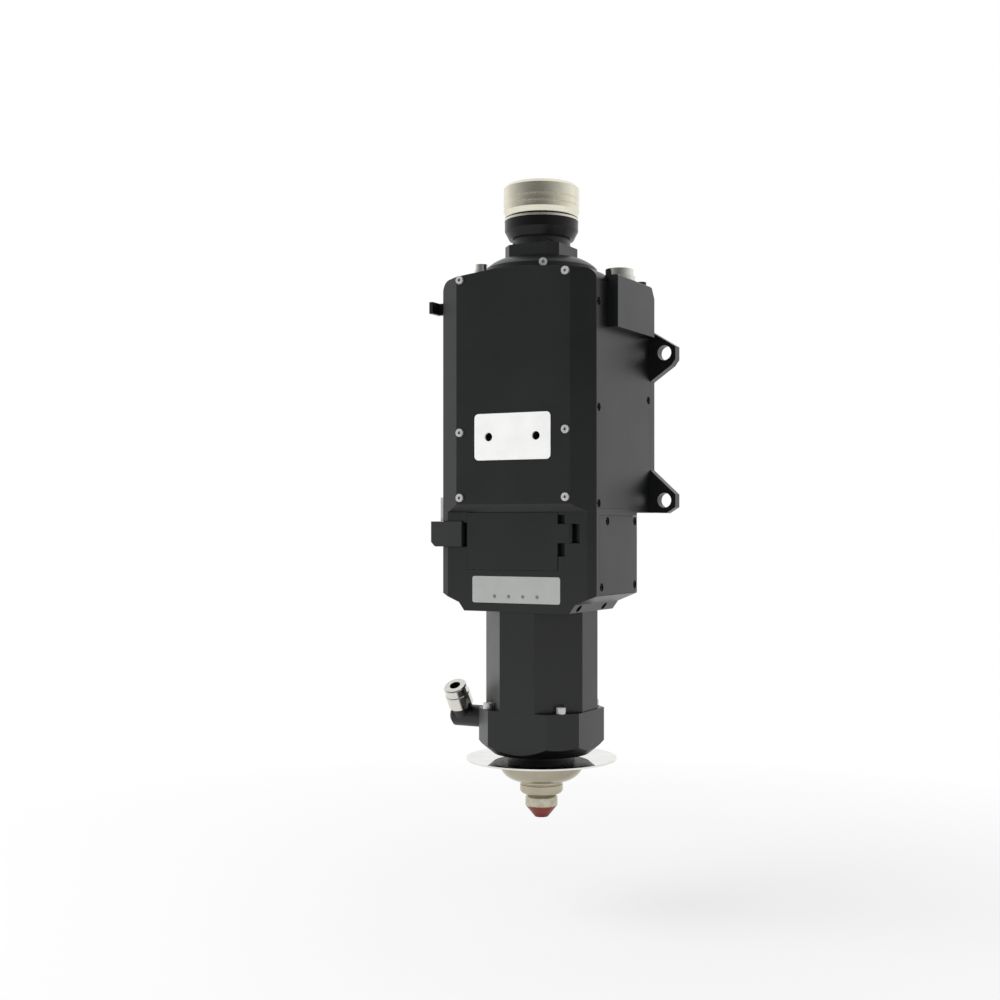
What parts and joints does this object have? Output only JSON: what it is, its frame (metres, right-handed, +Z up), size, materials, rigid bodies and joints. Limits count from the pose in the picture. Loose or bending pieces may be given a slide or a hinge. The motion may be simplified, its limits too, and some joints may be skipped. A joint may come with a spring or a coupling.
{
  "type": "laser cutting head",
  "caption": "Upright laser cutting head: fibre receiver with lock ring, bevelled black housing with rear lugs, hinged window door, octagonal barrel, splash disc, nozzle and swivel gas elbow.",
  "frame": {"origin": "centre of the four lug holes, in the rear mounting face", "axes": "+X to the right as seen from the front, +Y backwards out of the mounting face, +Z up along the beam towards the fibre receiver"},
  "size_m": [0.2016, 0.148, 0.5662],
  "materials": {
    "black_anodised": "satin black anodised",
    "dark_anodised": "satin black anodised, turned",
    "grey_anodised": "satin dark grey anodised",
    "bare_aluminium": "machined",
    "ring_aluminium": "turned, clear anodised",
    "black_steel": "black oxide",
    "bright_steel": "bright",
    "polished_steel": "polished",
    "nickel": "nickel plated",
    "copper": "turned copper",
    "brass": "turned",
    "ceramic": "matt",
    "white_plate": "smooth white",
    "grey_panel": "smooth light grey",
    "light_lens": "clear, unlit",
    "black_plastic": "fine matt",
    "seal": "matt",
    "glass": "polished",
    "motor": "satin black",
    "board": "lacquered board"
  },
  "bodies": {
    "head": {"main_housing": "black_anodised", "mounting_lugs": "black_anodised", "top_cap": "black_anodised", "front_cover": "black_anodised", "right_side_panel": "black_anodised", "left_side_panel": "black_anodised", "connector_box": "black_anodised", "cable_hook": "black_anodised", "receiver_base": "black_anodised", "window_housing": "black_anodised", "right_window_panel": "black_anodised", "left_window_panel": "black_anodised", "barrel": "black_anodised", "sensor_body": "black_anodised", "receiver_collar": "dark_anodised", "window_drawers": "grey_anodised", "index_ring": "bare_aluminium", "drive_plate": "bare_aluminium", "centring_base": "bare_aluminium", "panel_screws": "black_steel", "receiver_screws": "black_steel", "barrel_screws": "black_steel", "cover_screws": "bright_steel", "cap_screw": "bright_steel", "shelf_screws": "bright_steel", "hinge_pin": "bright_steel", "latch_bracket": "bright_steel", "gas_stem": "bright_steel", "guide_rail": "bright_steel", "screw_bearing": "bright_steel", "splash_disc": "polished_steel", "cooling_cone": "polished_steel", "lock_nut": "polished_steel", "power_socket": "nickel", "coolant_fittings": "nickel", "nozzle": "copper", "ceramic_ring": "ceramic", "access_plate": "white_plate", "indicator_panel": "grey_panel", "indicator_lights": "light_lens", "signal_socket": "black_plastic", "window_seals": "seal", "protective_windows": "glass", "focus_motor": "motor", "control_board": "board"},
    "lock_ring": {"lock_ring": "ring_aluminium"},
    "carriage": {"collimator_carriage": "bare_aluminium", "collimator_lens": "glass", "screw_nut": "brass"},
    "screw": {"ball_screw": "bright_steel", "shaft_coupling": "bare_aluminium"},
    "door": {"compartment_door": "black_anodised"},
    "latch": {"door_latch": "black_plastic"},
    "elbow": {"gas_elbow": "black_plastic", "gas_collet": "nickel"},
    "cross_slide": {"cross_slide": "bare_aluminium"},
    "lens_stage": {"lens_holder": "grey_anodised", "focus_lens": "glass"},
    "adjuster_y": {"adjuster_y": "black_steel"},
    "adjuster_x": {"adjuster_x": "black_steel"}
  },
  "joints": [
    {"name": "lock_ring_turn", "type": "hinge", "parent": "head", "child": "lock_ring", "pos_m": [0, -0.0805, 0.1855], "axis": [0, 0, 1], "range_deg": [0, 60]},
    {"name": "focus_slide", "type": "slide", "parent": "head", "child": "carriage", "axis": [0, 0, 1], "range_m": [-0.012, 0.012]},
    {"name": "screw_turn", "type": "hinge", "parent": "head", "child": "screw", "pos_m": [0.046, -0.0705, 0], "axis": [0, 0, 1], "range_deg": [-870, 870]},
    {"name": "door_hinge", "type": "hinge", "parent": "head", "child": "door", "pos_m": [0.0512, -0.1258, -0.104], "axis": [0, 0, 1], "range_deg": [0, 110]},
    {"name": "latch_turn", "type": "hinge", "parent": "head", "child": "latch", "pos_m": [-0.08065, -0.1085, -0.0982], "axis": [0, 0, -1], "range_deg": [0, 90]},
    {"name": "elbow_swivel", "type": "hinge", "parent": "head", "child": "elbow", "pos_m": [-0.0798, -0.0805, -0.266], "axis": [1, 0, 0], "continuous": true},
    {"name": "stage_y", "type": "slide", "parent": "head", "child": "cross_slide", "axis": [0, 1, 0], "range_m": [-0.001, 0.001]},
    {"name": "stage_x", "type": "slide", "parent": "cross_slide", "child": "lens_stage", "axis": [1, 0, 0], "range_m": [-0.00075, 0.00075]},
    {"name": "adjuster_y_turn", "type": "hinge", "parent": "head", "child": "adjuster_y", "pos_m": [0.0233, -0.1255, -0.0135], "axis": [0, 1, 0], "range_deg": [-725, 725]},
    {"name": "adjuster_x_turn", "type": "hinge", "parent": "head", "child": "adjuster_x", "pos_m": [-0.0233, -0.1255, -0.0135], "axis": [0, 1, 0], "range_deg": [-60, 60]}
  ],
  "couplings": [
    {"joint": "screw_turn", "follows": "focus_slide", "rad_per_m": -1256.6},
    {"joint": "adjuster_y_turn", "follows": "stage_y", "rad_per_m": -12566},
    {"joint": "adjuster_x_turn", "follows": "stage_x", "rad_per_m": 666.67}
  ]
}
